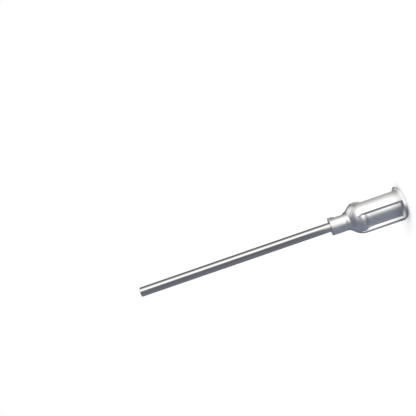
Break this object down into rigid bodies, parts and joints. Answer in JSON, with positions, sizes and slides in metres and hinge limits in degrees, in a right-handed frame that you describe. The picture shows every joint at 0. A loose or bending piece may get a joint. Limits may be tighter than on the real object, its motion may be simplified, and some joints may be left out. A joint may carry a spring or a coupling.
{
  "type": "blunt cannula",
  "caption": "Blunt cannula: a straight steel tube with a square-cut blunt tip, staked in a round aluminium hub with a tapered syringe socket and recessed grip panels.",
  "frame": {"origin": "centre of the hub's open rear end, which the part stands on", "axes": "+Z along the tube from the hub to the blunt tip; +X through the middle of the recessed panel that the neck's flat is in line with"},
  "size_m": [0.0066, 0.0066, 0.0523],
  "materials": {
    "aluminium": "satin, tumbled",
    "stainless": "drawn and polished"
  },
  "bodies": {
    "root": {"hub": "aluminium", "tube": "stainless"}
  },
  "joints": []
}
